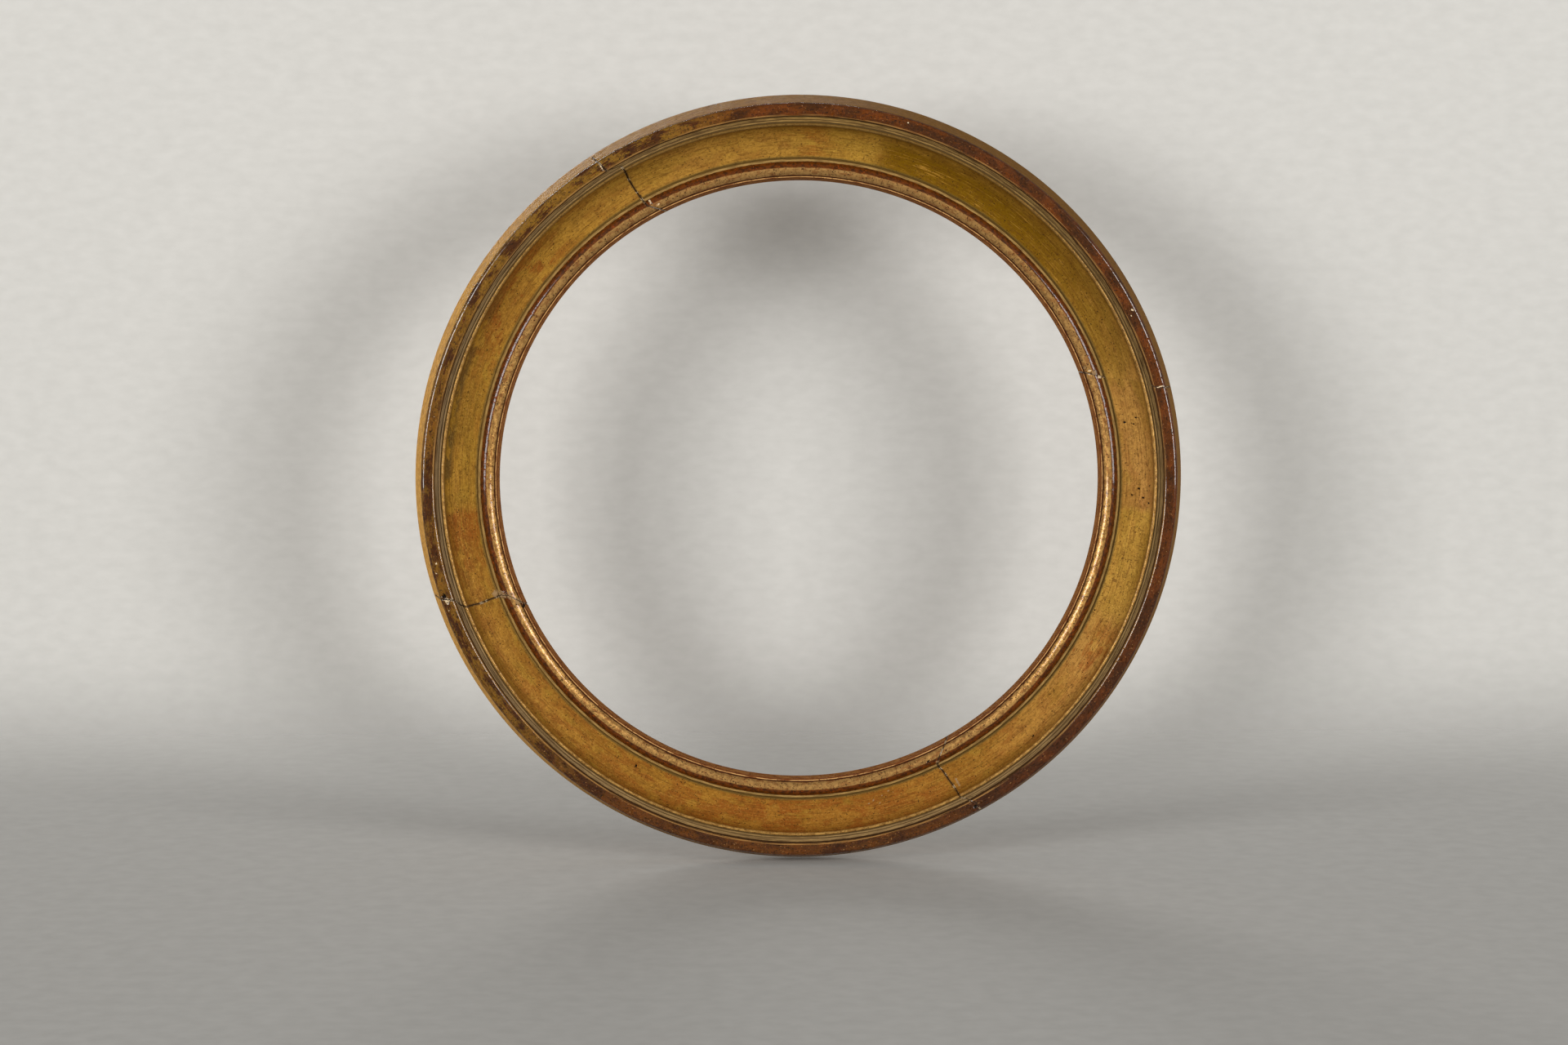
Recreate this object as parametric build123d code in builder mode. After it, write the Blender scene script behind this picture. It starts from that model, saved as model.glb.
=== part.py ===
from build123d import *

import os
from math import acos, asin, copysign, cos, degrees, radians, sin, sqrt

# A round gilt picture frame whose picture, glass and back are gone. Four wooden felloes are
# half-lapped, glued and pegged into a rim, and the rim is then turned to a hollow moulding.
# It hangs upright from a ring in a screw eye. The viewer is on the -Y side, the wall on the
# +Y side, +Z is up, and the origin is the rim's centre on its back face.
# Lengths are in millimetres and angles in degrees, counter-clockwise as the viewer sees them.

# Section of the rim, from the outer side in. Widths run towards the centre, heights and depths
# along the axis, and frame_depth is the whole thickness. Round stretches are run as chords.
outer_radius = 177.0
frame_depth = 22.0
back_arris_width = 2.5
back_arris_height = 4.5
back_arris_chords = 2
side_splay = 3.8
shoulder = 1.8
shoulder_chords = 2
band_width = 6.0
band_arris = 0.6
step_drop = 3.0
step_draft = 0.3
upper_fillet_width = 2.2
quirk_width = 0.5
quirk_depth = 0.3
lip_width = 1.5
lip_rise = 0.85
lip_chords = 3
cove_width = 14.1
cove_drop = 8.1
cove_chords = 5
groove_width = 0.9
groove_depth = 0.6
lower_fillet_width = 1.0
lower_fillet_rise = 0.3
bead_width = 6.5
bead_rise = 1.9
bead_chords = 4
sight_fillet_width = 0.7
sight_chamfer = 0.35
sight_draft = 1.6

# Rebate for the picture, open at the back.
rebate_depth = 7.0
rebate_shelf_width = 5.7

# Joints between the felloes. Each front seam is a straight saw line that leans from the radial
# direction; the seam on the back is its mirror image, a lap's length further on.
felloe_names = ("felloe_top", "felloe_left", "felloe_bottom", "felloe_right")
seam_angles = (17.2, 119.6, 201.9, 296.9)
seam_leans = (-26.4, 23.2, -23.6, 21.9)
lap_length = 40.0
turning_waste = 6.0

# Pegs through the laps, whittled to flats, driven from the back and stopped short of the front.
peg_names = ("lap_pegs_right", "lap_pegs_top", "lap_pegs_left", "lap_pegs_bottom")
peg_count = 2
peg_diameter = 6.0
peg_sides = 8
peg_spacing = 18.0
peg_inset = 14.0
peg_bite = 5.0
peg_point = 0.8
bored_clearance = 0.05

# Screw eye and hanging ring, both of forged iron wire. Their diameters are across the corners of
# the wire's flats.
wire_sides = 6
eye_wire_diameter = 2.4
eye_inner_diameter = 5.2
eye_neck_radius = 1.5
eye_neck_gap = 0.2
eye_shank_length = 12.0
eye_point_length = 3.0
eye_wrap = 300.0
eye_inset = 11.0
ring_wire_diameter = 2.2
ring_inner_diameter = 16.8
ring_clearance = 0.3

# Radii of the section's lines.
band_outer = outer_radius - side_splay
band_inner = band_outer - band_width
upper_fillet_outer = band_inner - step_draft
upper_fillet_inner = upper_fillet_outer - upper_fillet_width
lip_outer = upper_fillet_inner - quirk_width
lip_inner = lip_outer - lip_width
cove_inner = lip_inner - cove_width
groove_inner = cove_inner - groove_width
bead_outer = groove_inner - lower_fillet_width
bead_inner = bead_outer - bead_width
sight_arris = bead_inner - sight_fillet_width
sight_radius = sight_arris - sight_draft
rebate_radius = sight_radius + rebate_shelf_width

# Heights of the section's lines above the back face, and the rounds of the lip and the bead.
upper_fillet_height = frame_depth - step_drop
cove_top = upper_fillet_height - quirk_depth
cove_bottom = cove_top - cove_drop
lower_fillet_height = cove_bottom + lower_fillet_rise
lip_middle = (lip_outer + lip_inner) / 2
bead_middle = (bead_outer + bead_inner) / 2
bead_radius = bead_rise / 2 + bead_width**2 / bead_rise / 8
bead_height = lower_fillet_height + bead_rise - bead_radius
bead_turn = degrees(asin(bead_width / bead_radius / 2))

# The laps meet level with the rebate's shelf, so the shelf is the front layer's own back.
lap_height = rebate_depth
middle_radius = (outer_radius + sight_radius) / 2
lap_turn = degrees(lap_length / middle_radius)
peg_length = lap_height + peg_bite


def at(radius, height):
    """A point of the section, by its distance from the axis and its height above the back."""
    return (radius, -height)


def bow(radius, height, width, rise, first, last, chords):
    """Points of the section along a round stretch, which is part of an ellipse about a point.

    The angles are counted from the ellipse's top towards the centre of the rim.
    """
    turns = [radians(first + (last - first) * step / chords) for step in range(chords + 1)]
    return [at(radius - width * sin(turn), height + rise * cos(turn)) for turn in turns]


def spoke(radius, angle):
    """A point on the rim's face, by its distance from the centre and its angle."""
    return Vector(radius, 0).rotate(Axis.Z, angle)


def on_saw_line(radius, angle, lean):
    """The point at a radius on the saw line that crosses the middle of the rim at an angle."""
    offset = middle_radius * sin(radians(lean))
    reach = sqrt(radius**2 - offset**2) - middle_radius * cos(radians(lean))
    return spoke(middle_radius, angle) + spoke(reach, angle + lean)


# The whole rim as it leaves the lathe, bored for its pegs and for the screw eye.
# lap_centres are the angles midway between a joint's front seam and its back seam.
lap_centres = [angle - copysign(lap_turn, lean) / 2 for angle, lean in zip(seam_angles, seam_leans)]
peg_circle = outer_radius - peg_inset
peg_turn = degrees(peg_spacing / peg_circle)
eye_height = outer_radius - eye_inset

with BuildPart() as turned_rim:
    with BuildSketch(Plane.XY):
        with BuildLine():
            Polyline(
                at(rebate_radius, 0),
                *bow(
                    outer_radius - back_arris_width,
                    back_arris_height,
                    back_arris_width,
                    -back_arris_height,
                    0,
                    -90,
                    back_arris_chords,
                ),
                *bow(
                    band_outer - shoulder,
                    frame_depth - shoulder,
                    shoulder,
                    shoulder,
                    -90,
                    0,
                    shoulder_chords,
                ),
                at(band_inner + band_arris, frame_depth),
                at(band_inner, frame_depth - band_arris),
                at(upper_fillet_outer, upper_fillet_height),
                at(upper_fillet_inner, upper_fillet_height),
                *bow(lip_middle, cove_top, lip_width / 2, lip_rise, -90, 90, lip_chords),
                *bow(cove_inner, cove_top, cove_width, -cove_drop, -90, 0, cove_chords)[1:],
                at(cove_inner - groove_width / 2, cove_bottom - groove_depth),
                at(groove_inner, lower_fillet_height),
                *bow(
                    bead_middle,
                    bead_height,
                    bead_radius,
                    bead_radius,
                    -bead_turn,
                    bead_turn,
                    bead_chords,
                ),
                at(sight_arris + sight_chamfer, lower_fillet_height),
                at(sight_arris, lower_fillet_height - sight_chamfer),
                at(sight_radius, rebate_depth),
                at(rebate_radius, rebate_depth),
                close=True,
            )
        make_face()
    revolve(axis=Axis.Y)
    with BuildSketch(Plane.XZ):
        for lap_centre in lap_centres:
            with PolarLocations(
                peg_circle, peg_count, lap_centre - peg_turn / 2, peg_turn, endpoint=True
            ):
                Circle(peg_diameter / 2 + bored_clearance)
    extrude(amount=peg_length, mode=Mode.SUBTRACT)
    with BuildSketch(Plane.XZ):
        with Locations((0, eye_height)):
            Circle(eye_wire_diameter / 2 + bored_clearance)
    extrude(amount=eye_shank_length, mode=Mode.SUBTRACT)


def felloe(first, last):
    """The rim's wood from one joint to the next: a lapped blank, of which the turned part stays.

    A blank has two layers. The back one begins and ends a lap's length from the front one, so
    each joint has a lap on both felloes, and the shoulders stand square to the face.
    """
    layers = (
        (Plane.XZ, lap_height, 1),
        (Plane.XZ.offset(lap_height), frame_depth - lap_height + turning_waste, 0),
    )
    with BuildPart() as blank:
        for plane, thickness, on_back in layers:
            ends = []
            for joint in (first, last):
                turn, index = divmod(joint, len(seam_angles))
                lean = seam_leans[index]
                angle = seam_angles[index] + 360 * turn
                if on_back:
                    angle -= copysign(lap_turn, lean)
                    lean = -lean
                ends.append((angle, lean))
            (start, start_lean), (end, end_lean) = ends
            middle = (start + end) / 2
            outside = outer_radius + turning_waste
            inside = sight_radius - turning_waste
            with BuildSketch(plane):
                with BuildLine():
                    start_cut = Line(
                        on_saw_line(inside, start, start_lean),
                        on_saw_line(outside, start, start_lean),
                    )
                    end_cut = Line(
                        on_saw_line(outside, end, end_lean),
                        on_saw_line(inside, end, end_lean),
                    )
                    ThreePointArc(start_cut @ 1, spoke(outside, middle), end_cut @ 0)
                    ThreePointArc(end_cut @ 1, spoke(inside, middle), start_cut @ 0)
                make_face()
            extrude(amount=thickness)
    with BuildPart() as turned:
        add(turned_rim.part)
        add(blank.part, mode=Mode.INTERSECT)
    return turned


felloes = [felloe(joint, joint + 1) for joint in range(len(felloe_names))]
for name, piece in zip(felloe_names, felloes):
    piece.part.label = name


def pegs(lap_centre):
    """The pegs of one lap, cut flush with the back, with the hidden end chamfered to start."""
    with BuildPart() as pair:
        with BuildSketch(Plane.XZ):
            with PolarLocations(
                peg_circle, peg_count, lap_centre - peg_turn / 2, peg_turn, endpoint=True
            ):
                RegularPolygon(peg_diameter / 2, peg_sides)
        extrude(amount=peg_length - bored_clearance)
        chamfer(pair.edges().group_by(Axis.Y)[0], peg_point)
    return pair


peg_pairs = [pegs(lap_centre) for lap_centre in lap_centres]
for name, piece in zip(peg_names, peg_pairs):
    piece.part.label = name

# Screw eye: one wire, bent out at the neck and wrapped round a centre over the shank. The neck's
# arc and the eye's touch where the line between their centres crosses them.
eye_radius = (eye_inner_diameter + eye_wire_diameter) / 2
neck_turn = degrees(acos(eye_neck_radius / (eye_radius + eye_neck_radius)))
eye_stand_off = eye_neck_gap + sqrt((eye_radius + eye_neck_radius) ** 2 - eye_neck_radius**2)

with BuildPart() as hanger_eye:
    with BuildLine(Plane.YZ):
        shank = Line((eye_point_length - eye_shank_length, eye_height), (eye_neck_gap, eye_height))
        neck = JernArc(shank @ 1, shank % 1, eye_neck_radius, neck_turn)
        JernArc(neck @ 1, neck % 1, eye_radius, -eye_wrap)
    with BuildSketch(Plane(shank @ 0, z_dir=shank % 0)):
        RegularPolygon(eye_wire_diameter / 2, wire_sides)
    sweep()
    with BuildSketch(Plane(shank @ 0, z_dir=-(shank % 0))):
        RegularPolygon(eye_wire_diameter / 2, wire_sides)
    with BuildSketch(Plane(shank @ 0, z_dir=-(shank % 0)).offset(eye_point_length)):
        RegularPolygon(bored_clearance, wire_sides)
    loft()
hanger_eye.part.label = "hanger_eye"

# Hanging ring: it hangs from the lower side of the eye and swings about its own wire there.
ring_radius = (ring_inner_diameter + ring_wire_diameter) / 2
ring_drop = (eye_inner_diameter - ring_wire_diameter) / 2 - ring_clearance
swing_height = eye_height - ring_drop

with BuildPart() as hanging_ring:
    with BuildSketch(Plane.YZ):
        with Locations((eye_stand_off, swing_height)):
            RegularPolygon(ring_wire_diameter / 2, wire_sides)
    revolve(axis=Axis((0, 0, swing_height - ring_radius), (0, 1, 0)))
hanging_ring.part.label = "hanging_ring"

os.makedirs("parts", exist_ok=True)
for piece in (*felloes, *peg_pairs, hanger_eye, hanging_ring):
    export_step(piece.part, f"parts/{piece.part.label}.step")
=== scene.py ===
"""A round giltwood picture frame: four lapped felloes, their pegs, a screw eye and a hanging ring."""
import math
from statistics import NormalDist

import bpy
import numpy as np
from mathutils import Matrix, Vector


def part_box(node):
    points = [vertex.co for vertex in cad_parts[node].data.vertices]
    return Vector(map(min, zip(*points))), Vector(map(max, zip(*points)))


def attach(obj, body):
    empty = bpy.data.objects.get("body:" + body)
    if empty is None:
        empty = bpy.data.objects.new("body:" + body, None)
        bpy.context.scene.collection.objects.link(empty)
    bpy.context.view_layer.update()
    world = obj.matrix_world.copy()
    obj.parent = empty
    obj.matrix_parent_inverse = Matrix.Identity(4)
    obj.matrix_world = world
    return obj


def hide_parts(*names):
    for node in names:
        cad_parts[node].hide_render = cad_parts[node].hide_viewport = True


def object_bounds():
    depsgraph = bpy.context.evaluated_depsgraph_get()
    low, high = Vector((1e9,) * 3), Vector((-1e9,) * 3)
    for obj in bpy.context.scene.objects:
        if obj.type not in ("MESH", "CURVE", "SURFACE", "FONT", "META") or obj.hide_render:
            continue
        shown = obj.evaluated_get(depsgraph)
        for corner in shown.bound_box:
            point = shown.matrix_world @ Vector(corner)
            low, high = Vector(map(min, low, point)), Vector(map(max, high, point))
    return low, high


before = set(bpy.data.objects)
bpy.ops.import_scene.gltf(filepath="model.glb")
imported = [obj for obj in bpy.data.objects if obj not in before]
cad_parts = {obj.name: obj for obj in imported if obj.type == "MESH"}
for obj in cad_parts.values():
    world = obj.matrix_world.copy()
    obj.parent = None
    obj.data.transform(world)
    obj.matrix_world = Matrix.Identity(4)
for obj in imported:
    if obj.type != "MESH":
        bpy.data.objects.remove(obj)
cad_low, cad_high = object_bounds()

# Four felloes, sawn from boards of a light wood, half-lapped at their ends, glued and pegged.
# The joined rim was turned to a hollow moulding, coated with gesso and red bole, and gilded with
# loose leaf. Age has opened the joints, worn the leaf from the arrises and browned the varnish.

MILLIMETRE = 0.001
rim_radius = -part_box("felloe_left")[0].x / MILLIMETRE
frame_depth = -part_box("felloe_left")[0].y / MILLIMETRE

# Widths run towards the centre, heights stand on the back face, all in millimetres.
back_arris_width, back_arris_height = 2.5, 4.5
side_splay, shoulder = 3.8, 1.8
band_width, band_crown, band_arris = 6.0, 0.12, 0.6
step_drop, step_draft = 3.0, 0.3
fillet_width, fine_groove_width, fine_groove_depth, fine_fillet_width = 1.1, 0.4, 0.35, 0.7
quirk_width, quirk_depth, quirk_foot_share = 0.5, 0.3, 0.6
lip_width, lip_rise = 1.5, 0.85
cove_width, cove_drop = 14.1, 8.1
groove_width, groove_depth = 0.9, 0.6
lower_fillet_width, lower_fillet_rise = 1.0, 0.3
bead_width, bead_rise = 6.5, 1.9
sight_fillet_width, sight_quirk_width, sight_quirk_depth = 0.7, 0.3, 0.2
sight_chamfer, sight_fall, sight_draft = 0.35, 0.05, 1.6
rebate_depth, rebate_shelf_width = 7.0, 5.7
scribed_depth, scribed_width = 0.22, 0.4

side_top = rim_radius - side_splay
band_inner = side_top - band_width
step_foot = band_inner - step_draft
fine_groove = step_foot - fillet_width
quirk_outer = fine_groove - fine_groove_width - fine_fillet_width
lip_outer = quirk_outer - quirk_width
lip_inner = lip_outer - lip_width
cove_inner = lip_inner - cove_width
groove_inner = cove_inner - groove_width
bead_outer = groove_inner - lower_fillet_width
bead_inner = bead_outer - bead_width
sight_arris = bead_inner - sight_fillet_width
sight_radius = sight_arris - sight_draft
rebate_radius = sight_radius + rebate_shelf_width
fillet_height = frame_depth - step_drop
cove_top = fillet_height - quirk_depth
cove_bottom = cove_top - cove_drop
lower_height = cove_bottom + lower_fillet_rise
middle_radius = (rim_radius + sight_radius) / 2


def bow(radius, height, width, rise, first, last, count):
    """Points of a round stretch of the section, by angle from the top towards the centre."""
    turns = np.radians(np.linspace(first, last, count + 1))
    return [(radius - width * math.sin(t), height + rise * math.cos(t)) for t in turns]


# The bead is a shallow arc between its two edges, and the side rises in one straight splay.
bead_middle = (bead_outer + bead_inner) / 2
bead_radius = bead_rise / 2 + bead_width**2 / bead_rise / 8
bead_turn = math.degrees(math.asin(bead_width / bead_radius / 2))
side_rise = frame_depth - shoulder - back_arris_height


def on_side(height):
    """The point of the splayed outer side at a height."""
    climb = (height - back_arris_height) / side_rise
    return (rim_radius - side_splay * climb, height)


scribed_height = frame_depth - shoulder - scribed_width

# The section as stretches: the name of each, its points, and how far its first corner is softened.
stretches = [
    ("back_arris", bow(rim_radius - back_arris_width, back_arris_height, back_arris_width,
                       -back_arris_height, 0, -90, 12), 0.0),
    ("lap_outer", [on_side(rebate_depth)], 0.0),
    ("scribed_line", [on_side(scribed_height - scribed_width / 2)], 0.12),
    ("scribed_foot", [(on_side(scribed_height)[0] - scribed_depth, scribed_height)], 0.0),
    ("shoulder", bow(side_top - shoulder, frame_depth - shoulder, shoulder, shoulder,
                     -80, -8, 9), 0.12),
    ("band", [((side_top - shoulder + band_inner) / 2, frame_depth)], 0.0),
    ("band_arris", [(band_inner + band_arris, frame_depth - band_crown)], 0.25),
    ("step", [(band_inner, frame_depth - band_arris)], 0.3),
    ("fillet", [(step_foot, fillet_height)], 0.25),
    ("fine_groove", [(fine_groove, fillet_height)], 0.08),
    ("fine_groove_foot", [(fine_groove - fine_groove_width / 2, fillet_height - fine_groove_depth)],
     0.0),
    ("fine_fillet", [(fine_groove - fine_groove_width, fillet_height)], 0.12),
    ("quirk", [(quirk_outer, fillet_height)], 0.15),
    ("quirk_foot", [(quirk_outer - quirk_width * quirk_foot_share,
                     cove_top - quirk_depth * quirk_foot_share)], 0.0),
    ("lip", bow((lip_outer + lip_inner) / 2, cove_top, lip_width / 2, lip_rise, -80, 80, 10), 0.0),
    ("cove", bow(cove_inner, cove_top, cove_width, -cove_drop, -88, -2, 46), 0.0),
    ("groove", [(cove_inner, cove_bottom)], 0.12),
    ("groove_foot", [(cove_inner - groove_width / 2, cove_bottom - groove_depth)], 0.1),
    ("lower_fillet", [(groove_inner, lower_height)], 0.2),
    ("bead", bow(bead_middle, lower_height + bead_rise - bead_radius, bead_radius, bead_radius,
                 -bead_turn, bead_turn, 22), 0.0),
    ("sight_quirk", [(bead_inner - sight_quirk_width / 2, lower_height - sight_quirk_depth)], 0.0),
    ("sight_fillet", [(bead_inner - sight_quirk_width, lower_height)], 0.1),
    ("sight_arris", [(sight_arris, lower_height - sight_fall)], sight_chamfer),
    ("shelf", [(sight_radius, rebate_depth)], 0.2),
    ("lap_inner", [(rebate_radius, rebate_depth)], 0.0),
    ("rebate_mouth", [(rebate_radius, 0.0)], 0.3),
]


def softened(points, reaches, longest_share=1 / 2.2):
    """The closed section with its corners cut back along both sides, and rounded."""
    made, places = [], []
    for index, (point, reach) in enumerate(zip(points, reaches)):
        before, after = points[index - 1], points[(index + 1) % len(points)]
        if not reach:
            places.append(len(made))
            made.append(point)
            continue
        into, out = [side * min(reach / np.hypot(*side), longest_share)
                     for side in (before - point, after - point)]
        places.append(len(made) + 1)
        made.extend((point + into, point + into / 4 + out / 4, point + out))
    return made, places


def divided(points, places, spacing):
    """The closed section with its long straights divided, and where the named places went."""
    made, moved = [], {}
    for index, point in enumerate(points):
        moved[index] = len(made)
        ahead = points[(index + 1) % len(points)]
        count = max(1, math.ceil(np.hypot(*(ahead - point)) / spacing(point)))
        made.extend(point + (ahead - point) * step / count for step in range(count))
    return np.array(made), [moved[place] for place in places]


# Only the first corner of each stretch is softened, and carries its name.
corners, corner_reaches, corner_names = [], [], []
for name, points, reach in stretches:
    for index, point in enumerate(points):
        corners.append(np.array(point))
        corner_reaches.append(0.0 if index else reach)
        corner_names.append(None if index else name)


def row_spacing(point, on_face=0.55, on_back=2.4):
    """Rows are close together on the gilded face, and wide apart on the plain back."""
    return on_back if point[1] <= rebate_depth + 0.01 else on_face


section, places = softened(corners, corner_reaches)
section, places = divided(section, places, row_spacing)
run = np.concatenate([[0.0], np.cumsum(np.hypot(*np.diff(section, axis=0).T))])
first_row = {name: place for name, place in zip(corner_names, places) if name}
edge = {name: run[row] for name, row in first_row.items()}

# Front rows run from the lap's outer edge over the moulding to its inner edge, back rows return.
front_rows = np.arange(first_row["lap_outer"], first_row["lap_inner"] + 1)
back_rows = np.concatenate([np.arange(first_row["lap_inner"], len(section)),
                            np.arange(0, first_row["lap_outer"] + 1)])
ahead = np.roll(section, -1, 0) - np.roll(section, 1, 0)
ahead /= np.hypot(*ahead.T)[:, None]
outward = np.stack([ahead[:, 1], -ahead[:, 0]], 1)

# Where the joints lie, in degrees counter-clockwise from the right, and how far they lean.
seam_angles = (17.2, 119.6, 201.9, 296.9)
seam_leans = (-26.4, 23.2, -23.6, 21.9)
lap_length = 40.0
lap_turn = math.degrees(lap_length / middle_radius)

# The cracks wander from the saw lines through the gesso: radius in mm, and degrees off the line.
wanderings = (
    ((173, 0.0), (168, -0.2), (163, 0.2), (157, 0.1), (149, -0.2), (143, 0.1), (138, 0.0)),
    ((173, 0.3), (170, 0.4), (167.2, 0.6), (166, -1.5), (163.5, -1.35), (159, -0.5), (154, 0.25),
     (149, 0.9), (144.5, 1.4), (142, 0.9), (138, 0.0)),
    ((173, -1.9), (167.5, -1.9), (165.5, -1.0), (163, -0.7), (157.5, -1.1), (150, -2.3),
     (147, -2.9), (144, -3.0), (141, -2.1), (138, -1.1)),
    ((173, -0.1), (169, 0.2), (164, -0.9), (160, -0.5), (155, -0.1), (151, 0.3), (148, 0.4),
     (146, 0.9), (143, 2.6), (140, 4.8), (138, 6.2)),
)
# How far each crack stands open along the same radii: full width in mm. Behind it is even.
openings = (
    ((173, 0.12), (168, 0.01), (148, 0.005), (144.5, 0.12), (138, 0.15)),
    ((173, 0.2), (168, 0.3), (165, 0.2), (162, 0.45), (155, 0.4), (148, 0.35), (143, 0.2),
     (138, 0.15)),
    ((173, 0.3), (168, 0.5), (163, 0.2), (157, 0.3), (150, 0.35), (144, 0.3), (138, 0.4)),
    ((173, 0.1), (166, 0.15), (160, 0.25), (152, 0.35), (147, 0.3), (141, 0.25), (138, 0.2)),
)
back_opening = 0.16


def along_radii(pairs, radii):
    """A drawn line of values over the radii, read at each of the given radii."""
    places, values = np.array(sorted(pairs)).T
    return np.interp(radii, places, values)


def saw_line(angle, lean, radii):
    """The angle at each radius of the straight line that crosses the rim's middle at an angle."""
    offset = middle_radius * math.sin(math.radians(lean))
    reach = np.sqrt(radii**2 - offset**2) - middle_radius * math.cos(math.radians(lean))
    x = middle_radius + reach * math.cos(math.radians(lean))
    y = reach * math.sin(math.radians(lean))
    return angle + np.degrees(np.arctan2(y, x))


def seam_lines(joint, radii, side):
    """The front and the back seam of a joint at each radius. side is 1 for the later felloe."""
    turn, index = divmod(joint, len(seam_angles))
    angle, lean = seam_angles[index] + 360 * turn, seam_leans[index]
    front = saw_line(angle, lean, radii) + along_radii(wanderings[index], radii)
    front += side * np.degrees(along_radii(openings[index], radii) / 2 / radii)
    back = saw_line(angle - math.copysign(lap_turn, lean), -lean, radii)
    back += side * np.degrees(back_opening / 2 / radii)
    return front, back


def unevenness(along, across, grain_along, grain_across, seed):
    """Smooth random waves between -1 and 1 over two lengths, with a size for each way."""
    lattice = np.random.default_rng(seed).uniform(-1, 1, (512, 512))
    x, y = along / grain_along, across / grain_across
    x0, y0 = np.floor(x).astype(int), np.floor(y).astype(int)
    fx, fy = x - x0, y - y0
    fx, fy = fx * fx * (3 - 2 * fx), fy * fy * (3 - 2 * fy)
    near = lattice[x0 % 512, y0 % 512] * (1 - fx) + lattice[(x0 + 1) % 512, y0 % 512] * fx
    far = (lattice[x0 % 512, (y0 + 1) % 512] * (1 - fx)
           + lattice[(x0 + 1) % 512, (y0 + 1) % 512] * fx)
    return near * (1 - fy) + far * fy


# Damage that has a shape of its own, by what shows in it: angle, radius, half the length, half the
# width and depth, in degrees and mm. Where the depth is below zero, the filler stands proud.
damage = {
    "gesso": (
        (198.4, 170.3, 1.2, 0.9, 0.35), (199.8, 171.0, 0.6, 0.4, 0.2), (192.3, 170.6, 0.7, 0.4, 0.2),
        (193.8, 171.4, 0.4, 0.3, 0.2), (193.2, 169.6, 0.3, 0.25, 0.2), (169.4, 169.5, 0.3, 0.4, 0.2),
        (27.6, 170.9, 0.6, 0.5, 0.2), (26.9, 169.4, 0.35, 0.3, 0.15), (15.0, 170.0, 0.3, 1.9, 0.15),
        (46.6, 171.4, 0.4, 0.3, 0.15), (73.4, 171.0, 0.35, 0.3, 0.15), (122.0, 170.3, 0.3, 2.2, 0.25),
        (118.0, 145.2, 0.5, 1.1, 0.3), (116.9, 142.6, 0.9, 0.35, 0.3), (19.2, 146.2, 0.8, 0.9, 0.3),
        (20.9, 142.6, 0.5, 0.9, 0.3),
    ),
    "hole": (
        (197.5, 171.2, 1.1, 0.9, 0.9), (204.2, 139.6, 1.0, 0.7, 0.5), (294.6, 143.6, 0.7, 0.5, 0.4),
        (298.4, 170.6, 0.9, 0.6, 0.5), (358.7, 156.6, 0.45, 0.45, 0.9), (357.2, 158.6, 0.4, 0.4, 0.9),
        (357.5, 153.4, 0.4, 0.4, 0.9), (356.4, 160.9, 0.3, 0.3, 0.6), (336.2, 149.6, 0.45, 0.45, 0.8),
        (312.4, 160.4, 0.5, 0.4, 0.6), (240.2, 152.6, 0.45, 0.4, 0.8), (9.7, 156.0, 0.5, 0.3, 0.6),
        (10.7, 157.4, 0.35, 0.3, 0.5), (10.2, 152.2, 0.4, 0.9, 0.15),
    ),
    "filler": (
        (20.3, 144.0, 1.1, 1.2, 0.3), (21.8, 140.8, 0.9, 0.8, 0.3), (200.2, 149.4, 1.4, 1.5, -0.4),
        (200.8, 146.6, 1.8, 1.3, -0.5), (201.4, 143.8, 1.6, 1.1, -0.35),
        (202.9, 141.2, 1.4, 0.9, -0.3), (296.0, 145.8, 0.9, 0.6, -0.25), (297.6, 158.5, 0.5, 2.2, -0.2),
        (282.2, 154.1, 0.6, 0.25, 0.12), (283.0, 152.9, 0.5, 0.3, 0.12), (283.9, 155.0, 0.4, 0.2, 0.1),
        (284.6, 152.0, 0.5, 0.2, 0.12), (285.9, 150.4, 0.5, 0.3, 0.12), (286.7, 151.6, 0.35, 0.2, 0.1),
    ),
}

# Waves of the turned and gessoed face: height, length round the ring, width, and seed.
waves = ((0.05, 90, 40, 11), (0.03, 14, 9, 12), (0.018, 3.2, 2.2, 13))
mean_wear, wear_of_back = 0.05, 0.4

# The gesso has crumbled along the cracks, but not where the first one was filled: within some
# degrees of its angle, between two radii.
crumbled_depth, crumbled_width = 0.22, 0.45
filled_turn, filled_inner, filled_outer = 5, 148, 168


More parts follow.
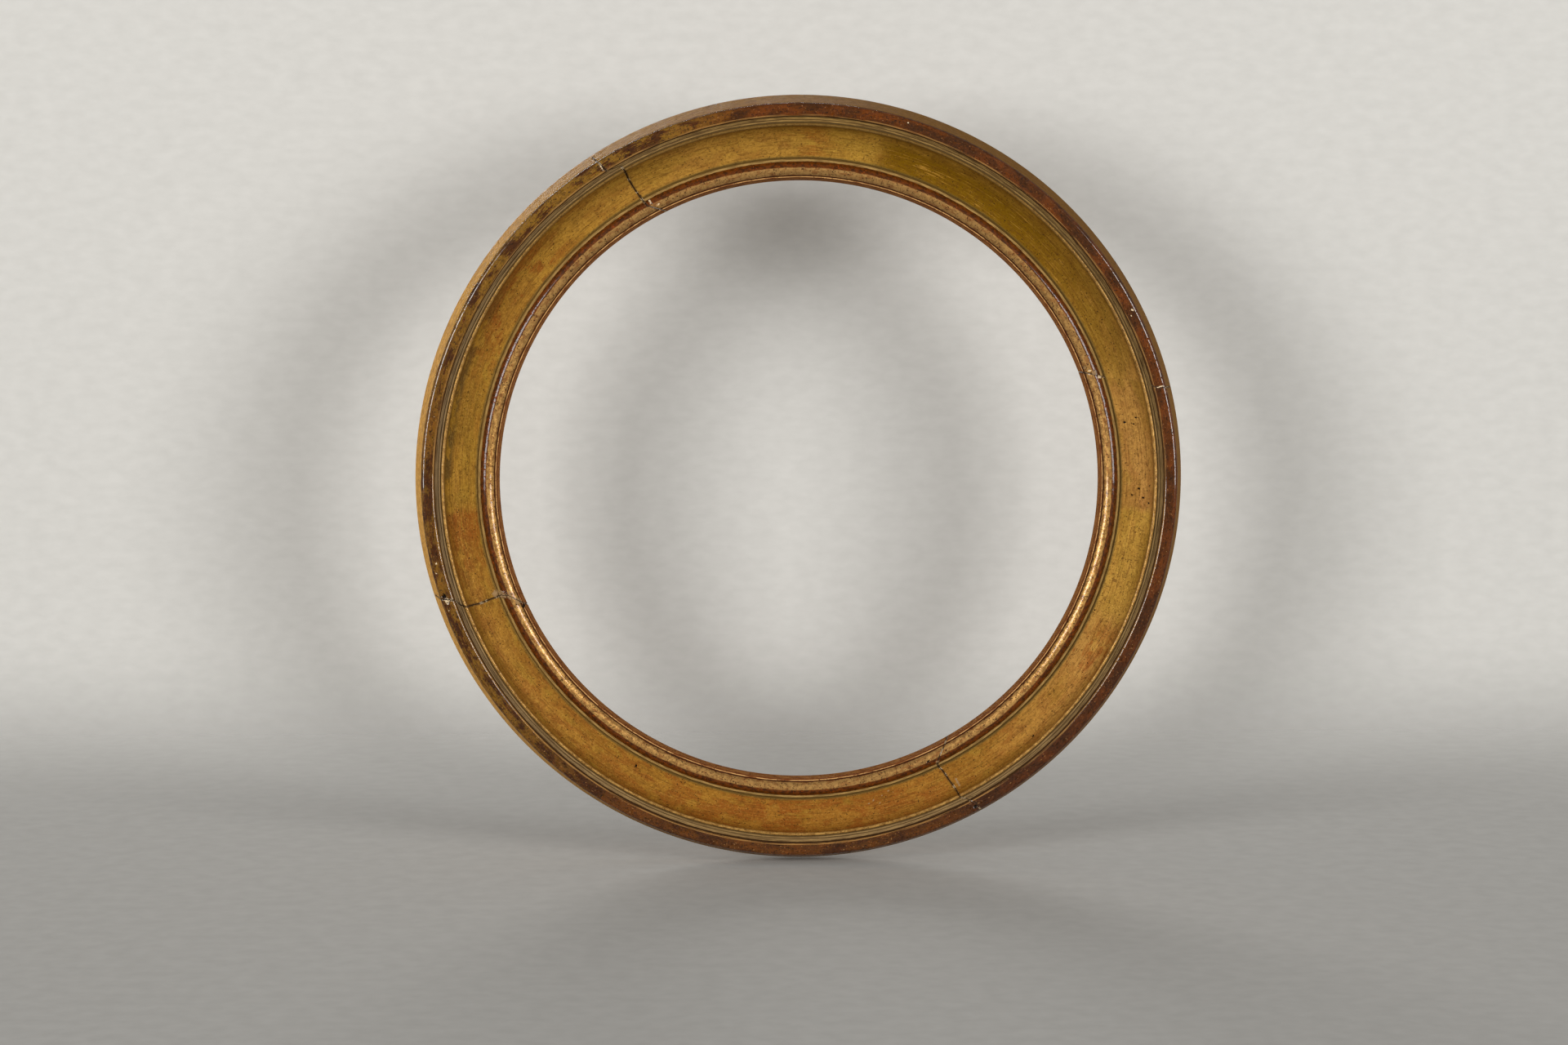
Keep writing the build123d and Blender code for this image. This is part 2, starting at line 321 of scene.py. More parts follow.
def weathered(turn, across, to_crack, gilded):
    """How far each spot stands out from the turned form, and its share of each kind of damage."""
    radii = section[:, 0]
    arc = np.radians(turn) * radii
    middle_arc = np.radians(turn) * middle_radius
    swell = sum(height * unevenness(middle_arc, across, *rest) for height, *rest in waves)
    swell -= mean_wear
    raised = np.where(gilded, swell, np.minimum(swell, 0.0) * wear_of_back)

    ragged = 0.5 + 0.5 * unevenness(arc, across, 1.1, 1.3, 14)
    filled = np.abs(np.mod(turn, 360) - seam_angles[0]) < filled_turn
    filled &= (radii > filled_inner) & (radii < filled_outer)
    crumbled = np.where(filled, 0.0, crumbled_depth)
    crumbled *= np.exp(-np.maximum(to_crack, 0) / crumbled_width) * ragged
    raised -= np.where(gilded, crumbled, 0)

    ragged = 0.55 * unevenness(arc, across, 0.9, 0.8, 15)
    marks = {kind: np.zeros(turn.shape) for kind in damage}
    for kind, spots in damage.items():
        for angle, radius, half_length, half_width, depth in spots:
            away = np.mod(turn - angle + 180, 360) - 180
            x = np.radians(away) * radii / half_length
            y = np.broadcast_to((radii - radius) / half_width, turn.shape)
            share = np.clip(1.35 - np.hypot(x, y) + ragged, 0, 1)
            share = np.where(gilded, share * share * (3 - 2 * share), 0)
            raised -= depth * share
            marks[kind] = np.maximum(marks[kind], share)
    return raised, marks


def column_angles(bounds, focus):
    """Angles of the columns between the bounds: wide apart, but close at the places in focus."""
    wide, close, reach, easing = 0.28, 0.07, 0.5, 1.5
    made = []
    for low, high in zip(bounds, bounds[1:]):
        at = low
        while at < high - 1e-6:
            made.append(at)
            near = min(abs(at - place) for place in focus)
            at += close + (wide - close) * min(1.0, max(0.0, near - reach) / easing)
        made[-1] = made[-1] if made[-1] == low else (made[-2] + high) / 2
    return np.array([*made, bounds[-1]])


def shaped(name, vertices, faces, sharp=60):
    """An object with a smooth mesh, in metres, whose edges over an angle in degrees stay sharp."""
    mesh = bpy.data.meshes.new(name)
    mesh.from_pydata(vertices, [], faces)
    mesh.shade_smooth()
    mesh.set_sharp_from_angle(angle=math.radians(sharp))
    made = bpy.data.objects.new(name, mesh)
    bpy.context.scene.collection.objects.link(made)
    return made


def label(piece, name, values):
    """Gives every vertex of a piece a number, or three, that its material can read."""
    kind, key = ("FLOAT_VECTOR", "vector") if np.ndim(values) == 2 else ("FLOAT", "value")
    layer = piece.data.attributes.new(name, kind, "POINT")
    layer.data.foreach_set(key, np.array(values, np.float32).ravel())


def felloe(name, joint):
    """One felloe's mesh: the skins of its two layers, the faces of its laps, and its four ends."""
    radii = section[:, 0]
    starts = seam_lines(joint, radii, 1)
    ends = seam_lines(joint + 1, radii, -1)
    middles = [seam_lines(joint + end, np.array([middle_radius]), 1 - 2 * end) for end in (0, 1)]
    front_is_long = middles[0][0][0] < middles[0][1][0]
    long, short = (0, 1) if front_is_long else (1, 0)
    bounds = [middles[0][long][0], middles[0][short][0], middles[1][short][0], middles[1][long][0]]
    lines = [starts[long], starts[short], ends[short], ends[long]]
    focus = [middles[0][0][0], middles[1][0][0]]
    for angle, *rest in sum(damage.values(), ()):
        focus.extend(place for place in (angle, angle + 360) if bounds[0] < place < bounds[3])
    columns = column_angles(bounds, focus)
    turn = np.stack([np.interp(columns, bounds, [line[row] for line in lines])
                     for row in range(len(section))], 1)
    long_rows, short_rows = (front_rows, back_rows)[::1 if front_is_long else -1]
    first = int(np.searchsorted(columns, bounds[1] - 1e-9))
    last = int(np.searchsorted(columns, bounds[2] - 1e-9))
    finish_column = len(columns) - 1

    # Places on the surface: across the section, from the nearest crack, and whether it is gilded.
    across = np.broadcast_to(run, turn.shape)
    of_back = ~np.isin(np.arange(len(section)), front_rows)
    first_crack = np.where(of_back, starts[1], starts[0])
    last_crack = np.where(of_back, ends[1], ends[0])
    to_crack = np.radians(np.minimum(turn - first_crack, last_crack - turn)) * radii
    gilded = np.isin(np.arange(len(section)), front_rows[1:-1]) & (run < edge["shelf"])
    raised, marks = weathered(turn, across, to_crack, np.broadcast_to(gilded, turn.shape))
    radius = np.minimum(radii + raised * outward[:, 0], rim_radius)
    height = np.clip(section[:, 1] + raised * outward[:, 1], 0, frame_depth)
    places = np.stack([radius * np.cos(np.radians(turn)), -height,
                       radius * np.sin(np.radians(turn))], -1)

    # Every column has the long layer's rows, and the middle ones have the short layer's too.
    number = np.full(turn.shape, -1)
    number[:, long_rows] = 0
    number[first:last + 1, short_rows] = 0
    kept = number == 0
    number[kept] = np.arange(kept.sum())

    def quads(low, high, rows):
        near, far = number[low:high, rows], number[low + 1:high + 1, rows]
        return np.stack([near[:, :-1], far[:, :-1], far[:, 1:], near[:, 1:]], -1).reshape(-1, 4)

    faces = quads(0, finish_column, long_rows).tolist() + quads(first, last, short_rows).tolist()
    skin_count = len(faces)

    # The front layer's end walls stand upright from the lap's face, and follow the crack.
    over_lap = int(np.sum(section[front_rows, 0] > rebate_radius))
    walled = front_rows[1:over_lap]
    front_columns = (0, finish_column) if front_is_long else (first, last)
    back_columns = (first, last) if front_is_long else (0, finish_column)
    feet, foot_places = [], []
    for column in front_columns:
        start = int(kept.sum()) + len(foot_places)
        feet.append(list(range(start, start + len(walled))))
        foot_places.extend(places[column, walled] * (1, 0, 1) - (0, rebate_depth, 0))
    for column, chain, step in zip(front_columns, feet, (1, -1)):
        top = number[column, front_rows].tolist()
        bottom = [top[0], *chain, top[-1]]
        faces.append([top[0], top[1], bottom[1]][::step])
        for row in range(1, over_lap):
            faces.append([top[row], top[row + 1], bottom[row + 1], bottom[row]][::step])
        faces.append(top[over_lap:][::step])
    for column, step in zip(back_columns, (1, -1)):
        faces.append(number[column, back_rows].tolist()[::step])

    # Each lap's face lies level, between the end walls of the two layers.
    for chain, low, high in zip(feet, (0, last), (first, finish_column)):
        at_low = front_columns[low == last] == low
        inward_first = chain[::-1] if front_is_long else chain
        loop = number[low:high + 1, long_rows[-1]].tolist()
        loop += [] if at_low else inward_first
        loop += number[low:high + 1, long_rows[0]].tolist()[::-1]
        loop += inward_first[::-1] if at_low else []
        faces.append(loop)

    vertex_places = np.concatenate([places[kept], np.array(foot_places)])
    piece = shaped(name, vertex_places * MILLIMETRE, faces, 50)

    # Skins between the back arris and the sight are gilded or painted, all else is bare wood.
    row_is_bare = run >= edge["shelf"]
    bare = [np.tile(row_is_bare[long_rows[:-1]], finish_column),
            np.tile(row_is_bare[short_rows[:-1]], last - first),
            np.ones(len(faces) - skin_count, bool)]
    piece.data.polygons.foreach_set("material_index", np.concatenate(bare).astype(np.int32))

    # The materials read their places from the mesh: round the ring and across the section, the
    # damage, and the board that the felloe was sawn from.
    middle = math.radians((bounds[0] + bounds[3]) / 2)
    x, y, z = vertex_places.T
    unmarked = np.zeros((len(foot_places), 3))
    surface = np.stack([turn, across, np.clip(to_crack, -5, 60)], -1)[kept]
    scars = np.stack(list(marks.values()), -1)[kept]
    label(piece, "surface", np.concatenate([surface, unmarked]))
    label(piece, "scars", np.concatenate([scars, unmarked]))
    label(piece, "board", np.stack([z * math.cos(middle) - x * math.sin(middle), y,
                                    x * math.cos(middle) + z * math.sin(middle)], -1))
    return piece


def tone(shade):
    """The light of a shade: a grey share of 1, or red, green and blue as on screen, out of 255."""
    if isinstance(shade, (int, float)):
        return (shade, shade, shade, 1.0)
    screen = [part / 255 for part in shade]
    return (*[part / 12.92 if part <= 0.04045 else ((part + 0.055) / 1.055) ** 2.4
              for part in screen], 1.0)


def dress(node, sockets):
    """Sets the sockets of a node, or links them where the value is a coat."""
    for name, value in sockets.items():
        if isinstance(value, Coat):
            value.tree.links.new(value.socket, node.inputs[name])
        else:
            node.inputs[name].default_value = value


class Coat:
    """A socket of a finish's node tree, so that shader maths can be written as an expression."""

    def __init__(self, tree, socket=None):
        self.tree = tree
        self.socket = socket

    def node(self, kind, settings=None, sockets=None, output=0):
        """Adds a node. Its settings are set first, then the values or links of its sockets."""
        made = self.tree.nodes.new("ShaderNode" + kind)
        for name, value in (settings or {}).items():
            setattr(made, name, value)
        dress(made, sockets or {})
        return Coat(self.tree, made.outputs[output])

    def maths(self, operation, *others):
        return self.node("Math", {"operation": operation}, dict(enumerate((self, *others))))

    def __add__(self, other):
        return self.maths("ADD", other)

    def __sub__(self, other):
        return self.maths("SUBTRACT", other)

    def __rsub__(self, other):
        return self.node("Math", {"operation": "SUBTRACT"}, {0: other, 1: self})

    def __mul__(self, other):
        return self.maths("MULTIPLY", other)

    def __truediv__(self, other):
        return self.maths("DIVIDE", other)

    def most(self, other):
        return self.maths("MAXIMUM", other)

    def rise(self, low, high):
        """0 below low and 1 above high, smooth between them."""
        return self.node("MapRange", {"interpolation_type": "SMOOTHSTEP"},
                         {"Value": self, "From Min": low, "From Max": high})

    def between(self, low, high, blur):
        """1 from low to high, with both ends blurred."""
        return (self.rise(low - blur, low + blur)
                * (1 - self.rise(high - blur, high + blur)))

    def spots(self, share, blur=0.02):
        """1 on about this share of the surface, where this noise is highest."""
        line = NormalDist(0.5, 0.1).inv_cdf(1 - share)
        return self.rise(line - blur, line + blur)

    def ramp(self, *stops):
        """The shade at this number, blended from stop to stop."""
        blend = self.node("ValToRGB", None, {"Fac": self})
        elements = blend.socket.node.color_ramp.elements
        while len(elements) < len(stops):
            elements.new(0.5)
        for element, (place, shade) in zip(elements, stops):
            element.position = place
        for element, (place, shade) in zip(elements, stops):
            element.color = tone(shade)
        return blend

    def coats(self, *layers):
        """This colour with others laid over it in turn, each a shade or a coat with its share."""
        colour = self
        for shade, share in layers:
            # Sockets 0, 6 and 7 are the share and the two colours, and output 2 is the mixed one.
            above = shade if isinstance(shade, Coat) else tone(shade)
            colour = self.node("Mix", {"data_type": "RGBA"}, {0: share, 6: colour, 7: above}, 2)
        return colour

    def read(self, name, output="Vector"):
        """What the mesh is labelled with: three numbers, or a single one from the output Fac."""
        return self.node("Attribute", {"attribute_name": name}, output=output)

    def parts(self):
        """The three numbers of a vector."""
        split = self.node("SeparateXYZ", None, {0: self}).socket.node
        return [Coat(self.tree, socket) for socket in split.outputs]

    def scaled(self, *sizes):
        """A vector with each of its three numbers multiplied."""
        return self.node("VectorMath", {"operation": "MULTIPLY"}, {0: self, 1: sizes})

    def noise(self, scale=1.0, detail=2.0, roughness=0.5):
        """Smooth noise at this vector's place."""
        return self.node("TexNoise", None, {"Vector": self, "Scale": scale, "Detail": detail,
                                            "Roughness": roughness})

    def bump(self):
        """The normal of a surface that stands out by this number of millimetres."""
        return self.node("Bump", None, {"Height": self, "Strength": 1.0, "Distance": MILLIMETRE})


def finish(name):
    """An empty material with its shader, its output and a start for its expressions."""
    material = bpy.data.materials.new(name)
    material.use_nodes = True
    tree = material.node_tree
    tree.nodes.clear()
    shader = tree.nodes.new("ShaderNodeBsdfPrincipled")
    output = tree.nodes.new("ShaderNodeOutputMaterial")
    tree.links.new(shader.outputs[0], output.inputs[0])
    return material, shader, Coat(tree)


class GildedFace:
    """Where a spot lies on the gilded face, what damage it has, and the grains of its coats."""

    def __init__(self, start):
        self.start = start
        self.turn, self.across, self.to_crack = start.read("surface").parts()
        self.gesso, self.hole, self.filler = start.read("scars").parts()
        self.arc = self.turn * math.radians(middle_radius)
        self.broad = self.grains(34, 12, 1)
        self.cloud = self.grains(9, 4.5, 2)
        self.patch = self.grains(5.5, 2.2, 3)
        self.mottle = self.grains(2.2, 1.4, 4)
        self.grain = self.grains(0.8, 0.65, 5)
        self.streak = self.grains(16, 0.55, 6)
        self.brush = self.grains(6, 0.5, 7)
        self.speck = self.grains(0.75, 0.7, 8, detail=1.0)
        self.hairs = self.grains(0.45, 3.2, 9)
        self.shaken = self.across + (self.mottle - 0.5) * 0.5 + (self.cloud - 0.5) * 0.4

    def grains(self, size_along, size_across, seed, detail=3.0):
        """Noise whose grains have a length round the ring and a width across it, in mm."""
        spot = self.start.node("CombineXYZ", None, {0: self.arc / size_along,
                                                    1: self.across / size_across, 2: seed * 7.3})
        return spot.noise(1.0, detail, 0.55)

    def angle(self, jitter=0.0):
        """The angle from 0 to 360 degrees, shaken by clouds."""
        return (self.turn + (self.cloud - 0.5) * jitter).maths("WRAP", 360.0, 0.0)

    def weight(self, *stops, jitter=0.0):
        """A share from 0 to 1 that changes round the ring. The stops are in degrees."""
        return (self.angle(jitter) / 360.0).ramp(*[(angle / 360, share) for angle, share in stops])

    def stretch(self, first, last, blur=0.1):
        """1 on the moulding from one named line of the section to another."""
        return self.shaken.between(edge[first], edge[last], blur)


def rubbed_side(face):
    """The outer side: yellow ochre over gesso, browned by hands and smoke, and darker but at the left
    with painted shade.
    """
    # Partly browning, partly painted shade: the side stays bright only where the left lamp falls on it.
    browned_and_shaded = face.weight((0, 0.85), (40, 0.9), (80, 0.8), (120, 0.5), (150, 0.05), (215, 0.1),
                          (245, 0.8), (300, 0.95), (360, 0.85))
    return face.mottle.ramp((0.38, (222, 168, 84)), (0.62, (186, 134, 60))).coats(
        ((100, 66, 24), browned_and_shaded),
        ((98, 66, 32), face.brush.spots(0.25) * 0.6),
        ((66, 42, 22), face.speck.spots(0.05) * 0.7))


def varnished_band(face):
    """The top band: leaf rubbed down to bole and gesso under a thick, blotched brown varnish."""
    dulled = face.weight((0, 0), (30, 0.1), (60, 0.3), (75, 0), (200, 0.1), (225, 0.6),
                         (255, 0.5), (300, 0.8), (335, 0.6), (360, 0))
    reddish = (face.cloud * 0.5 + face.mottle * 0.5).spots(0.3, 0.05)
    goldish = face.weight((98, 0), (112, 0.75), (140, 0.8), (172, 0.45), (195, 0.6), (218, 0.6),
                          (238, 0.1), (290, 0.1), (305, 0), jitter=8.0)
    # A light line along the band's inner arris: partly rubbed leaf, partly a painted highlight.
    arris = face.across.between(edge["band_arris"] - 0.1, edge["step"] + 0.1, 0.2)
    return face.cloud.ramp((0.42, (64, 32, 3)), (0.58, (90, 44, 4))).coats(
        ((54, 28, 14), dulled * 0.8),
        ((110, 52, 8), reddish * (0.5 - dulled * 0.3)),
        ((124, 90, 24), goldish * (face.brush * 0.4 + face.cloud * 0.6).spots(0.6, 0.03)),
        ((46, 24, 6), face.mottle.spots(0.3, 0.06) * 0.45),
        ((34, 18, 6), (face.brush * 0.6 + face.grain * 0.4).spots(0.2) * 0.6),
        ((128, 66, 20), (1 - face.grain).spots(0.12) * 0.25),
        ((30, 17, 8), face.speck.spots(0.06) * 0.8),
        ((166, 122, 72), (1 - face.speck).spots(0.012) * 0.5),
        ((176, 130, 70), arris * face.streak.spots(0.6, 0.08) * 0.6))


def dusty_fillets(face):
    """The small lines beside the band and the lip, dull with wax and dust in their corners."""
    greyed = face.weight((0, 0.3), (90, 0), (120, 0.3), (170, 0.8), (215, 0.7), (260, 0.3),
                         (300, 0.5), (360, 0.3))
    return face.brush.ramp((0.4, (140, 110, 60)), (0.6, (102, 76, 38))).coats(
        ((140, 116, 86), greyed * 0.8),
        ((94, 72, 42), face.stretch("fine_groove", "fine_fillet", 0.12) * 0.6),
        ((66, 44, 20), face.streak.spots(0.25) * 0.6))


def leafed_hollow(face):
    """The hollow: loose leaf in lapped squares, rubbed to the bole, and brushed with bronze."""
    # Round the ring the leaf's laps are steps a few tenths of a degree wide, all else is gradual.
    cleaned = face.weight((0, 0.9), (20, 0.6), (45, 0.1), (85, 0.2), (110, 0.35), (135, 0.15),
                          (190, 0.1), (215, 0.25), (250, 0.1), (300, 0.3), (330, 0.8), (360, 0.9))
    leaf = face.weight((0, 0.2), (76.5, 0.3), (76.9, 0.7), (89.8, 0.65), (90.2, 0.3),
                       (142.9, 0.45), (143.3, 0.15), (152.8, 0.1), (153.3, 0.4), (184.3, 0.5),
                       (184.7, 0.1), (262.6, 0.3), (263, 0.1), (325.9, 0.3), (326.3, 0.1),
                       (335, 0.4), (338, 0.8), (355.1, 1), (355.5, 0.15), (360, 0.2), jitter=0.6)
    glazed = face.weight((0, 0), (100, 0), (140, 0.3), (200, 0.2), (235, 0.5), (265, 0.9),
                         (295, 0.8), (315, 0.3), (330, 0), (360, 0))
    rubbed = face.weight((0, 0.35), (20, 0.15), (84, 0.2), (88, 0.8), (91, 0.3), (110, 0.2),
                         (133, 0.35), (139, 0.9), (155, 0.75), (164, 0.3), (184, 0.1),
                         (184.8, 1), (191, 0.7), (200, 0.3), (240, 0.6), (262, 0.85),
                         (285, 0.8), (300, 0.5), (325.9, 0.3), (326.3, 1), (333, 0.8),
                         (336, 0.2), (360, 0.35), jitter=1.0)
    rubbed_leaf = face.weight((184.4, 0), (184.8, 0.7), (190.5, 0.6), (193, 0))
    worn = ((face.broad * 0.5 + face.cloud * 0.5).spots(0.6, 0.04)
            * (face.brush.spots(0.6, 0.06) * 0.55 + 0.45))
    worn = worn.most(rubbed_leaf * face.cloud.spots(0.8, 0.04))

    # Bronze paint was brushed along the hollow at the upper right, thinner towards the lip.
    repaint = face.weight((16, 0), (22, 0.45), (36, 0.7), (50, 1), (73, 1), (75.6, 0.85),
                          (76.6, 0), jitter=4.0)
    brushed = (face.brush * 0.4 + face.streak * 0.4 + face.cloud * 0.2).spots(0.8, 0.05)
    inward = face.across.rise(edge["cove"] + 2.5, edge["cove"] + 9) * 0.65 + 0.35
    fresh = 1 - repaint * 0.75

    # Dirt has settled below the lip, in the craze lines and at the groove; under the lip, soot and
    # painted shade.
    smudged = face.weight((140, 0), (152, 0.5), (165, 0.9), (178, 0.8), (184, 0.2), (190, 0))
    near_lip = face.across.between(edge["cove"] + 0.6, edge["cove"] + 5.5, 1.6)
    crazed = face.weight((0, 0.5), (20, 0.15), (120, 0.1), (150, 0.25), (200, 0.2), (325, 0.25),
                         (336, 1), (360, 0.5))
    soot_and_lip_shade = face.weight((0, 0.8), (40, 0.6), (60, 0), (125, 0), (150, 0.8), (200, 0.6),
                         (235, 0), (315, 0), (340, 0.7), (360, 0.8))
    shaded = 1 - face.across.rise(edge["cove"], edge["cove"] + 2.6)
    at_groove = face.shaken.rise(edge["groove"] - 0.9, edge["groove"] - 0.1)
    return face.cloud.ramp((0.38, (140, 98, 28)), (0.62, (110, 73, 17))).coats(
        ((188, 136, 78), cleaned * 0.62),
        ((182, 144, 52), leaf * 0.6),
        ((142, 84, 22), glazed * 0.5),
        ((134, 108, 34), face.broad.spots(0.4, 0.06) * 0.4),
        ((132, 70, 20), rubbed * worn * 0.9),
        ((106, 74, 0), repaint * brushed * inward * 0.95),
        ((74, 60, 34), smudged * near_lip * face.cloud.spots(0.75, 0.06) * 0.85),
        ((92, 58, 14), face.mottle.spots(0.25, 0.05) * 0.35),
        ((78, 48, 14), face.grain.spots(0.25) * 0.2),
        ((196, 152, 74), (1 - face.grain).spots(0.14) * fresh * 0.2),
        ((84, 50, 14), face.streak.spots(0.16) * 0.4),
        ((180, 134, 58), (1 - face.streak).spots(0.1) * fresh * 0.25),
        ((90, 56, 22), crazed * face.hairs.spots(0.1) * 0.7),
        ((40, 26, 12), face.speck.spots(0.02) * 0.85),
        # Painted shade with some soot: the hollow is darker under the lip at the left and right.
        ((84, 60, 22), shaded * soot_and_lip_shade * 0.7),
        ((92, 76, 36), at_groove * 0.6))


def bright_lip(face):
    """The lip: leaf rubbed bright by every cloth that wiped the hollow, and duller along the top as
    painted shade.
    """
    # Painted shade: the lip is duller along the top, where no lamp's highlight falls.
    dull = face.weight((0, 0), (25, 0.4), (60, 0.9), (130, 0.8), (160, 0.3), (195, 0.1),
                       (260, 0.05), (360, 0))
    return face.mottle.ramp((0.4, (180, 138, 74)), (0.6, (142, 102, 50))).coats(
        ((110, 82, 38), dull),
        ((88, 58, 26), face.speck.spots(0.1) * 0.7))


def burnished_bead(face):
    """The bead: bole bare on its outer flank, leaf burnished and crazed on its crest."""
    flank = face.mottle.ramp((0.42, (90, 44, 6)), (0.6, (56, 27, 4)))
    # Painted shade: the crest is duller at the top and bottom, away from the highlights of the side
    # lamps.
    dull = face.weight((0, 0.1), (25, 0.6), (60, 0.85), (100, 0.8), (135, 0.8), (160, 0.25),
                       (215, 0.15), (250, 0.6), (285, 0.7), (315, 0.4), (338, 0.05), (360, 0.1),
                       jitter=8.0)
    crest = face.mottle.ramp((0.42, (194, 148, 82)), (0.6, (140, 100, 50))).coats(
        ((152, 114, 66), dull * 0.8),
        ((118, 64, 26), face.patch.spots(0.24, 0.04) * 0.5),
        ((88, 50, 24), face.hairs.spots(0.1) * 0.6),
        ((52, 28, 14), face.speck.spots(0.07) * 0.85))
    ragged = face.shaken + (face.patch - 0.5) * 1.2
    on_crest = ragged.between(edge["bead"] + 3.5, edge["sight_quirk"] - 0.7, 0.25)
    foot = face.shaken.rise(edge["sight_quirk"] - 0.8, edge["sight_quirk"] - 0.4)
    colour = flank.coats(
        ((150, 68, 24), face.grain.spots(0.08) * 0.6),
        (crest, on_crest),
        ((60, 26, 12), foot * 0.9))
    return colour, on_crest


def toned_sight(face):
    """The sight edge: a light line, partly rubbed leaf and partly painted highlight, and a wall of bole
    toned brown.
    """
    reddened = 1 - face.shaken.rise(edge["sight_arris"] + 0.6, edge["sight_arris"] + 1.4)
    # The light line along the sight's arris is partly a painted highlight.
    line = face.across.between(edge["sight_fillet"], edge["sight_arris"] + 0.15, 0.08)
    return face.brush.ramp((0.4, (142, 94, 48)), (0.6, (104, 60, 28))).coats(
        ((96, 40, 16), reddened * 0.7),
        ((206, 158, 98), line * face.brush.spots(0.7, 0.06) * 0.85),
        ((56, 28, 14), face.speck.spots(0.08) * 0.7))


def gilding():
    """Worn leaf over red bole and gesso, in the moulding's own lines."""
    material, shader, start = finish("gilding")
    face = GildedFace(start)
    bead, on_crest = burnished_bead(face)
    lower_fillet = face.brush.ramp((0.4, (152, 120, 68)), (0.6, (112, 86, 46)))
    at_sight = face.shaken.rise(edge["sight_fillet"] - 0.1, edge["sight_fillet"] + 0.1)
    colour = rubbed_side(face).coats(
        ((46, 27, 14), face.stretch("scribed_line", "shoulder") * 0.8),
        (varnished_band(face), face.stretch("shoulder", "step")),
        # The step is painted dark, as painted shade on its wall below the band.
        ((66, 44, 24), face.stretch("step", "fillet")),
        (dusty_fillets(face), face.stretch("fillet", "quirk")),
        ((92, 72, 42), face.stretch("quirk", "lip")),
        (bright_lip(face), face.stretch("lip", "cove")),
        (leafed_hollow(face), face.stretch("cove", "groove")),
        ((86, 66, 30), face.stretch("groove", "lower_fillet") * 0.85),
        (lower_fillet, face.stretch("lower_fillet", "bead")),
        (bead, face.stretch("bead", "sight_quirk")),
        (toned_sight(face), at_sight),
        ((46, 22, 11), face.stretch("sight_quirk", "sight_fillet") * 0.9))

    # Dirt along each crack, less where it was filled and toned, and gesso at its broken edges.
    filled = (face.angle().between(12.0, 21.5, 0.4)
              * face.across.between(edge["fillet"], edge["groove"], 0.5))
    ragged = face.to_crack + (face.mottle - 0.5) * 1.2
    chipped = (1 - face.to_crack.rise(0.15, 0.5)) * face.patch.spots(0.25)
    colour = colour.coats(
        ((60, 42, 26), (1 - ragged.rise(0.1, 0.7)) * (0.8 - filled * 0.75)),
        ((190, 166, 130), chipped * (0.75 - filled * 0.75)),
        ((206, 184, 148), face.gesso.rise(0.3, 0.6) * (1 - face.grain.spots(0.2))),
        ((142, 114, 80), face.filler.rise(0.15, 0.5) * (1 - face.grain.spots(0.3) * 0.4) * 0.9),
        ((24, 17, 12), face.hole.rise(0.25, 0.55)))

    on_band = face.across.between(edge["scribed_line"], edge["step"], 0.3)
    on_bead = face.across.between(edge["bead"], edge["sight_quirk"], 0.3)
    on_lip = face.across.between(edge["lip"], edge["cove"], 0.2)
    on_hollow = face.across.between(edge["cove"], edge["groove"], 0.3)
    scarred = face.gesso.most(face.hole).most(face.filler)
    sound = 1 - scarred.rise(0.2, 0.5)
    metal = on_hollow * 0.3 + on_lip * 0.4 + on_bead * on_crest * 0.5
    rough = (0.58 - on_band * 0.2 - on_bead * 0.15 - on_lip * 0.14 + (face.patch - 0.5) * 0.4
             + (face.grain - 0.5) * 0.2 + scarred * 0.3)
    varnish = (on_band * 0.85 + on_bead * 0.5 + on_lip * 0.15) * sound * (1 - face.grain.spots(0.2))
    relief = ((face.mottle - 0.5) * 0.14 + (face.grain - 0.5) * 0.07 + (face.streak - 0.5) * 0.05
              - face.speck.spots(0.03) * 0.08 - face.hairs.spots(0.05) * 0.02)
    dress(shader, {"Base Color": colour, "Metallic": metal * sound, "Roughness": rough,
                   "Coat Weight": varnish, "Coat Roughness": 0.07, "Specular IOR Level": 0.06,
                   "Normal": relief.bump()})
    return material


def bare_wood():
    """Old light wood, browned by air and handling, with the grain along each felloe's board."""
    material, shader, start = finish("bare_wood")
    board = start.read("board")
    bend = board.scaled(0.012, 0.5, 0.28).noise()
    fibre = board.scaled(0.03, 1.6, 1.6).noise(1.0, 6.0, 0.7)
    rings = (bend * 26.0).maths("PINGPONG", 1.0)
    colour = rings.ramp((0.0, (142, 104, 66)), (0.55, (124, 86, 52)), (0.9, (92, 60, 36)),
                        (1.0, (104, 70, 42))).coats(
        ((70, 46, 30), fibre.rise(0.48, 0.72) * 0.6),
        ((66, 50, 38), board.noise(0.05, 4.0).rise(0.42, 0.7) * 0.55))
    relief = (fibre - 0.5) * 0.12 + rings * 0.04
    dress(shader, {"Base Color": colour, "Roughness": fibre * 0.2 + 0.62, "Normal": relief.bump()})
    return material


gilded_finish, wood_finish = gilding(), bare_wood()
felloe_names = ("felloe_top", "felloe_left", "felloe_bottom", "felloe_right")
for joint, node in enumerate(felloe_names):
    piece = felloe("gilt_" + node, joint)
    piece.data.materials.append(gilded_finish)
    piece.data.materials.append(wood_finish)
    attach(piece, "frame")
    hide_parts(node)

# Pegs of split oak, two through each lap: whittled to flats, driven from the back with glue, and
# cut off close to the face, where they have come to stand a little proud as the wood shrank.

peg_inset, peg_spacing, peg_diameter, peg_length = 14.0, 18.0, 6.0, 11.9
peg_proud, peg_flats, tilted_depth = 0.28, 11, 0.3
peg_circle = rim_radius - peg_inset
peg_names = ("lap_pegs_right", "lap_pegs_top", "lap_pegs_left", "lap_pegs_bottom")


